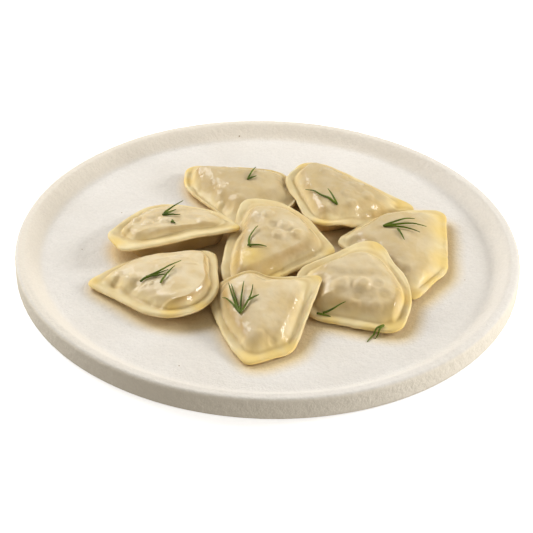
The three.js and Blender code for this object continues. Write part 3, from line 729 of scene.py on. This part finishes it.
def evenly_spaced(ring, others):
    """Every ring at places that lie evenly along the first one."""
    closed = np.concatenate([ring, ring[:1]])
    travelled = np.insert(np.cumsum(np.linalg.norm(np.diff(closed, axis=0), axis=1)), 0, 0)
    wanted = np.linspace(0, travelled[-1], AROUND, endpoint=False)
    return [
        np.column_stack([
            np.interp(wanted, travelled, np.append(other[:, axis], other[0, axis]))
            for axis in range(3)
        ])
        for other in others
    ]


def wandering(ring, noises, seed):
    """The ring with each point moved in or out, in its plane, by the noises."""
    tangent = np.roll(ring, -1, axis=0) - np.roll(ring, 1, axis=0)
    outward = np.column_stack([tangent[:, 1], -tangent[:, 0]])
    outward /= np.linalg.norm(outward, axis=1, keepdims=True)
    moved = ring.copy()
    moved[:, :2] += outward * waves(ring, noises, seed)[:, None]
    return moved


def side_rings(outline, foot, brim, height, fullness, press, steps):
    """Rings from the seal's edge to the pillow's middle, each with its height off the
    seal's plane and how much seal it is: a rounded edge, a bead that gets thinner
    towards the pillow's foot, a shoulder whose height is the power `softness` of
    1 - (1 - slant)(1 - q)^fullness - slant (1 - q), and a crown along a parabola."""
    seal_steps, shoulder_steps, crown_steps = steps
    middle = brim.mean(axis=0)
    middle[2] = 0
    width = np.linalg.norm((outline - foot)[:, :2], axis=1).mean()
    share = np.linspace(0, 1, seal_steps + 1) ** SEAL_CROWDING
    rounding = np.sqrt(1 - (1 - np.minimum(share * width / EDGE_ROUNDING, 1)) ** 2)
    pressed = press * smooth((1 + PRESS_LAG) * share - PRESS_LAG)
    seal_heights = SEAL_HALF * rounding * (1 - pressed)
    seal = outline + (foot - outline) * share[:, None, None]
    q = np.arange(1, shoulder_steps + 1) / shoulder_steps
    shoulder = foot + (brim - foot) * q[:, None, None]
    brim_height = height * (1 - CROWN_SHARE)
    foot_height = SEAL_HALF * (1 - press)
    left = (1 - SHOULDER_SLANT) * (1 - q) ** fullness + SHOULDER_SLANT * (1 - q)
    climb = (1 - left) ** FOOT_SOFTNESS
    shoulder_heights = foot_height + (brim_height - foot_height) * climb
    inner = np.arange(1, crown_steps + 1) / crown_steps
    crown = brim + (middle - brim) * inner[:, None, None]
    crown_heights = brim_height + height * CROWN_SHARE * (1 - (1 - inner) ** 2)
    rings = np.concatenate([seal, shoulder, crown])
    heights = np.concatenate([seal_heights, shoulder_heights, crown_heights])
    on_shoulder, on_crown = SEALED_FADES
    sealed = np.concatenate([
        np.ones(seal_steps + 1),
        1 - (1 - PILLOW_SEALED) * smooth(q * on_shoulder),
        PILLOW_SEALED * (1 - smooth(inner * on_crown)),
    ])
    return rings, heights, sealed


def curds(points, seed):
    """Crumbs of filling seen from above, from 0 to 1: round heaps on a square lattice,
    each moved at random, and every point takes the nearest one's height."""
    shifts = np.random.default_rng(seed).uniform(*CURD_SHIFTS, (LATTICE, LATTICE, 2))
    place = points[..., :2] / CURD_SPACING + LATTICE / 2
    cell = np.floor(place).astype(int)
    nearest = np.full(points.shape[:-1], np.inf)
    for step in np.ndindex(3, 3):
        at = cell + np.array(step) - 1
        heart = at + shifts[at[..., 0] % LATTICE, at[..., 1] % LATTICE]
        nearest = np.minimum(nearest, np.linalg.norm(place - heart, axis=-1))
    return np.clip(1 - (nearest * CURD_SPACING / CURD_RADIUS) ** 2, 0, 1)


def fold_height(points, fold):
    """A ridge or groove along a line of points: its height times e^-(d/width)^2, with d
    the distance to the nearest of the line's segments."""
    line, (width, height) = np.array(fold[:-2]), fold[-2:]
    nearest = np.full(points.shape[:-1], np.inf)
    for start, end in zip(line, line[1:]):
        along = end - start
        share = np.clip((points[..., :2] - start) @ along / (along @ along), 0, 1)
        apart = points[..., :2] - start - share[..., None] * along
        nearest = np.minimum(nearest, np.linalg.norm(apart, axis=-1))
    return height * np.exp(-(nearest / width) ** 2)


def dumpling_outlines(spec, seed):
    """The middle and axes of the seal's plane, and in that plane four uneven rings: the
    edge, the pillow's foot, and its brims above and below."""
    corners = np.array([corner[:3] for corner in spec["corners"]], float)
    corners[:, 2] += FLOOR_HEIGHT
    roundings = np.array([corner[3] for corner in spec["corners"]], float)
    middle, axes = seal_plane(corners)
    middle = middle + axes[2] * spec["lift"]
    flat = (corners - middle) @ axes.T
    foot_corners = moved_in(flat, spec["seal"], DROOP)
    inward = -foot_corners[:, :2] / np.linalg.norm(foot_corners[:, :2], axis=1, keepdims=True)
    foot_corners[:, :2] += inward * np.array(spec["tuck"])[:, None]
    shoulder = np.array(spec["shoulder"])
    brims = [moved_in(foot_corners, shoulder * share, DROOP) for share in (1, UNDERSIDE_SHOULDER)]
    rings = [
        rounded_ring(flat, roundings),
        rounded_ring(foot_corners, roundings * FOOT_CORNER_SHARE + FOOT_CORNER_EXTRA),
        *[rounded_ring(brim, roundings + BRIM_CORNER_EXTRA) for brim in brims],
    ]
    outline, foot, brim, brim_below = evenly_spaced(rings[0], rings)
    outline = wandering(outline, EDGE_WANDER, seed)
    outline = wandering(outline, EDGE_CRIMP, seed + 1)
    outline[:, 2] += waves(outline, EDGE_RISE, seed + 2)
    foot = wandering(foot, FOOT_WANDER, seed + 3)
    brim = wandering(brim, BRIM_WANDER, seed + 4)
    return middle, axes, (outline, foot, brim, brim_below)


def rising_reach(rings, full_ring):
    """A share for each ring, which grows evenly from 0 at the edge to 1 at `full_ring`."""
    return np.clip(np.arange(len(rings)) / full_ring, 0, 1)[:, None]


def lump_heights(spec, places, sealed, seed):
    """How far each point of the top stands above the plain pillow: chance swellings and
    crumbs of filling inside the seal, and then the dumpling's own lumps and folds."""
    lump = waves(places, SWELLINGS, seed + 5)
    lump *= spec["uneven"]
    gathered = smooth(0.5 + waves(places, CURD_GATHERING, seed + 10))
    lump += spec["curd"] * (curds(places, seed + 11) - CURD_SINK) * gathered
    lump *= smooth(1 + PILLOW_SEALED - sealed)[:, None]
    reach = rising_reach(places, SEAL_RINGS)
    wavering = places[..., :2] + np.stack(
        [waves(places, LUMP_WAVER, seed + 12), waves(places, LUMP_WAVER, seed + 13)], axis=-1
    )
    for x, y, radius, height in spec["lumps"]:
        apart = np.linalg.norm(wavering - (x, y), axis=-1)
        lump += height * smooth(LUMP_TOP - LUMP_FALL * apart / radius) * reach
    for fold in spec["folds"]:
        lump += fold_height(wavering, fold) * reach
    return lump


def dough_marks(spec, top, lump, sealed, upright):
    """At each point of the top: how sealed it is, how much of the filling shows, with painted
    shade in its hollows, how golden it is, and how steep, which carries painted shade on steep
    flanks and round a pressed foot. Steepness comes from the upright part of its normal."""
    golden = np.zeros(lump.shape)
    for x, y, radius in spec["golden"]:
        apart = (top[..., 0] - x) ** 2 + (top[..., 1] - y) ** 2
        golden = np.maximum(golden, np.exp(-apart / radius ** 2))
    # Steep flanks take painted shade, and the seal takes less of it.
    steep_shade = np.clip((FLAT_UPRIGHT - upright) / STEEP_RANGE, 0, 1)
    steep_shade = steep_shade * (1 - SEAL_CALM * sealed[:, None])
    # A painted shade line in the groove round the pillow's foot, darker the more the seal is
    # pressed.
    from_foot = (np.arange(len(top)) - SEAL_RINGS)[:, None] / FOOT_LINE_RINGS
    foot_shade_line = FOOT_LINE_SHADE * spec["press"] * np.exp(-from_foot ** 2)
    return {
        "seal": np.broadcast_to(sealed[:, None], lump.shape),
        # Hollows take the filling's darker colour as painted shade; showing is the filling's own
        # tone through the whole top.
        "filling": np.clip(-HOLLOW_SHADE * lump, 0, HOLLOW_SHADE_MOST) + spec["showing"],
        "golden": golden,
        "steep_shade": np.maximum(steep_shade, foot_shade_line),
    }


def keep_above_floor(top, below):
    """Lifts the underside out of the plate's floor, and the top above the seal's edge."""
    below[..., 2] = np.maximum(below[..., 2], FLOOR_HEIGHT + TOUCH)
    top[..., 2] = np.maximum(top[..., 2], below[0, :, 2])


def dumpling_sides(spec, seed):
    """The top and the underside as two grids of points, and the top's marks."""
    middle, axes, (outline, foot, brim, brim_below) = dumpling_outlines(spec, seed)
    top, heights, sealed = side_rings(
        outline, foot, brim, spec["rise"], spec["full"], spec["press"],
        (SEAL_RINGS, SHOULDER_RINGS, CROWN_RINGS),
    )
    lump = lump_heights(spec, middle + top @ axes, sealed, seed)
    top[..., 2] += heights[:, None]
    upright = surface_normals(middle + top @ axes, axes[2])[..., 2]
    top[..., 2] += lump
    top = middle + top @ axes
    crease = waves(top, CREASES, seed + 7) * rising_reach(top, SEAL_RINGS)
    top += crease[..., None] * surface_normals(top, axes[2])

    below, depths, _ = side_rings(
        outline, foot, brim_below, spec["depth"], UNDERSIDE_FULLNESS, 0, UNDERSIDE_RINGS
    )
    below[..., 2] -= depths[:, None]
    below = middle + below @ axes
    sunk = waves(below, UNDERSIDE_WAVES, seed + 9) * rising_reach(below, UNDERSIDE_RINGS[0])
    below -= sunk[..., None] * axes[2]
    keep_above_floor(top, below)
    return (top, below), dough_marks(spec, top, lump, sealed, upright)


def height_map(points, choose, empty):
    """The highest or lowest point over each square millimetre of the plate. A cell that
    holds no point takes its neighbours' choice."""
    size = 2 * PLATE_RADIUS
    cell = np.floor(points[..., :2]).astype(int) + PLATE_RADIUS
    chosen = np.full((size, size), empty)
    choose.at(chosen, (cell[..., 0], cell[..., 1]), points[..., 2])
    steps = [(x, y) for x in (-1, 0, 1) for y in (-1, 0, 1)]
    around = choose.reduce([np.roll(chosen, step, axis=(0, 1)) for step in steps])
    return np.where(chosen == empty, around, chosen)


def blurred(squares, spread):
    """A map blurred along both its sides by a bell curve."""
    reach = int(4 * spread) + 1
    bell = np.exp(-np.arange(-reach, reach + 1) ** 2 / (2 * spread ** 2))
    for axis in (0, 1):
        squares = np.apply_along_axis(np.convolve, axis, squares, bell / bell.sum(), "same")
    return squares


def read_map(squares, points):
    """A map's value at each point, blended between the middles of its four squares."""
    place = points[..., :2] + PLATE_RADIUS - 0.5
    cell = np.clip(np.floor(place).astype(int), 0, 2 * PLATE_RADIUS - 2)
    share = np.clip(place - cell, 0, 1)
    total = np.zeros(points.shape[:-1])
    for corner in np.ndindex(2, 2):
        weight = np.prod(np.where(corner, share, 1 - share), axis=-1)
        total += weight * squares[cell[..., 0] + corner[0], cell[..., 1] + corner[1]]
    return total


def bend_under(lower, later):
    """Presses a dumpling's top down under the later ones that lie on it, softly past
    their edges, and its seal's underside with it."""
    top, below = lower
    ceiling = height_map(np.concatenate([under.reshape(-1, 3) for _, under in later]),
                         np.minimum, np.inf)
    excess = height_map(top, np.maximum, -np.inf) + TOUCH - ceiling
    pressed = np.clip(np.nan_to_num(excess, neginf=0), 0, BEND_LIMIT)
    pressed = np.maximum(pressed, np.minimum(2 * blurred(pressed, BEND_SPREAD), BEND_LIMIT))
    bent = read_map(blurred(pressed, BEND_BLUR), top)
    top[..., 2] -= bent
    below[:SEAL_RINGS + 1, :, 2] -= bent[:SEAL_RINGS + 1]
    keep_above_floor(top, below)


def make_dumpling(name, sides, material):
    """The two grids as one skin, with their marks. The underside gets painted shade, as a fairly
    steep flank does.
    """
    (top, below), marks = sides
    rings = np.concatenate([below[-2:0:-1], top[:-1]])
    skin = stack(below[-1, 0], rings, top[-1, 0])
    points_below = 1 + AROUND * (len(below) - 2)
    piece = make_piece(name + "_dough", [skin], material, {
        key: np.concatenate([
            np.full(points_below, UNDERSIDE_MARKS[key]), mark[:-1].ravel(), mark[-1, :1],
        ])
        for key, mark in marks.items()
    })
    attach(piece, "root")
    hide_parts(name)
    return piece


# ---- dill ----

def ground_under(path, food):
    """The height of whatever lies under each point of a path."""
    heights = []
    for place in path:
        near = np.abs(food[:, :2] - place).max(axis=1) < NEEDLE_REACH
        heights.append(food[near, 2].max() if near.any() else FLOOR_HEIGHT)
    return np.array(heights)


def needle(points, food):
    """A dill needle through plan points (x, y, height above what it lies on): a smooth
    path of even steps, stiff enough to bridge hollows, and a tube that tapers to its tip."""
    points = np.array(points, float)
    travelled = np.insert(np.cumsum(np.linalg.norm(np.diff(points[:, :2], axis=0), axis=1)), 0, 0)
    steps = max(NEEDLE_FEWEST, int(travelled[-1] / NEEDLE_STEP))
    wanted = np.linspace(0, travelled[-1], steps)
    degree = min(2, len(points) - 1)
    path = np.column_stack([
        np.polyval(np.polyfit(travelled, points[:, axis], degree), wanted) for axis in range(3)
    ])
    height = ground_under(path[:, :2], food)
    bell = np.array(NEEDLE_STIFFNESS) / sum(NEEDLE_STIFFNESS)
    stiff = np.convolve(np.pad(height, len(bell) // 2, mode="edge"), bell, "valid")
    share = np.linspace(0, 1, steps)
    radius = NEEDLE_RADIUS * (1 - NEEDLE_TAPER * share ** 2)
    path[:, 2] += np.maximum(height, stiff) + radius
    tangent = np.gradient(path, axis=0)
    tangent /= np.linalg.norm(tangent, axis=1, keepdims=True)
    side = np.cross(tangent, (0, 0, 1))
    side /= np.linalg.norm(side, axis=1, keepdims=True)
    over = np.cross(side, tangent)
    angle = TURN * np.arange(NEEDLE_SIDES)[:, None] / NEEDLE_SIDES
    rings = path[:, None] + radius[:, None, None] * (
        np.cos(angle) * over[:, None] + np.sin(angle) * side[:, None]
    )
    return stack(path[0], rings, path[-1])


def make_dill(material, food):
    """All the sprigs as one piece."""
    needles = [needle(points, food) for sprig in DILL for points in sprig]
    dill = make_piece("dill_needles", needles, material)
    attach(dill, "root")
    return dill


# ---- studio ----

def make_camera():
    """Looks at the food from the diner's side, rolled a little."""
    tilt = math.radians(CAMERA_ELEVATION)
    back = Vector((0, -math.cos(tilt), math.sin(tilt)))
    right = Vector((1, 0, 0))
    up = back.cross(right)
    roll = math.radians(CAMERA_ROLL)
    turned_right = right * math.cos(roll) + up * math.sin(roll)
    turned_up = up * math.cos(roll) - right * math.sin(roll)
    camera = bpy.data.objects.new("camera", bpy.data.cameras.new("camera"))
    camera.data.lens = CAMERA_LENS
    camera.data.sensor_width = SENSOR_WIDTH
    camera.data.clip_start = NEAREST_SEEN * MM
    bpy.context.scene.collection.objects.link(camera)
    axes = Matrix((turned_right, turned_up, back)).transposed().to_4x4()
    place = (Vector(CAMERA_AIM) + back * CAMERA_DISTANCE) * MM
    camera.matrix_world = Matrix.Translation(place) @ axes
    bpy.context.scene.camera = camera


def make_softbox(name, place, width, height, power):
    """An area lamp at `place` that faces the middle of the plate."""
    lamp = bpy.data.lights.new(name, "AREA")
    lamp.shape = "RECTANGLE"
    lamp.size = width * MM
    lamp.size_y = height * MM
    lamp.energy = power
    softbox = bpy.data.objects.new(name, lamp)
    bpy.context.scene.collection.objects.link(softbox)
    away = Vector(place).normalized()
    softbox.rotation_euler = away.to_track_quat("Z", "Y").to_euler()
    softbox.location = Vector(place) * MM


def make_table():
    """The white floor under the plate."""
    half = TABLE_HALF * MM
    mesh = bpy.data.meshes.new("table")
    mesh.from_pydata(
        [(-half, -half, 0), (half, -half, 0), (half, half, 0), (-half, half, 0)],
        [], [(0, 1, 2, 3)],
    )
    mesh.materials.append(pale_table())
    table = bpy.data.objects.new("table", mesh)
    table.visible_diffuse = False
    bpy.context.scene.collection.objects.link(table)


def make_world():
    """A pale room above the table's edge, and the white table's own glow below it."""
    world = bpy.data.worlds.new("studio")
    world.use_nodes = True
    view = add_node(world, COORDINATES, "Generated")
    up = add_node(world, "ShaderNodeSeparateXYZ", "Z", (view,))
    glow = add_node(world, MAP_RANGE, "Result", (up, -HORIZON, HORIZON, TABLE_GLOW, ROOM_GLOW))
    background = world.node_tree.nodes["Background"]
    background.inputs["Color"].default_value = colour("fff8ec")
    world.node_tree.links.new(glow, background.inputs["Strength"])
    bpy.context.scene.world = world


make_camera()
make_world()
make_table()
for softbox in SOFTBOXES:
    make_softbox(*softbox)
bpy.context.scene.view_settings.view_transform = "Standard"

dough = boiled_dough()
laid = [
    dumpling_sides(spec, FIRST_SEED + SEEDS_EACH * number)
    for number, spec in enumerate(DUMPLINGS.values())
]
for number, (surfaces, _) in enumerate(laid[:-1]):
    bend_under(surfaces, [later[0] for later in laid[number + 1:]])
for name, sides in zip(DUMPLINGS, laid):
    make_dumpling(name, sides, dough)
make_plate(matte_stoneware(), np.concatenate([below.reshape(-1, 3) for (_, below), _ in laid]))
make_dill(fresh_dill(), np.concatenate([top.reshape(-1, 3) for (top, _), _ in laid]))
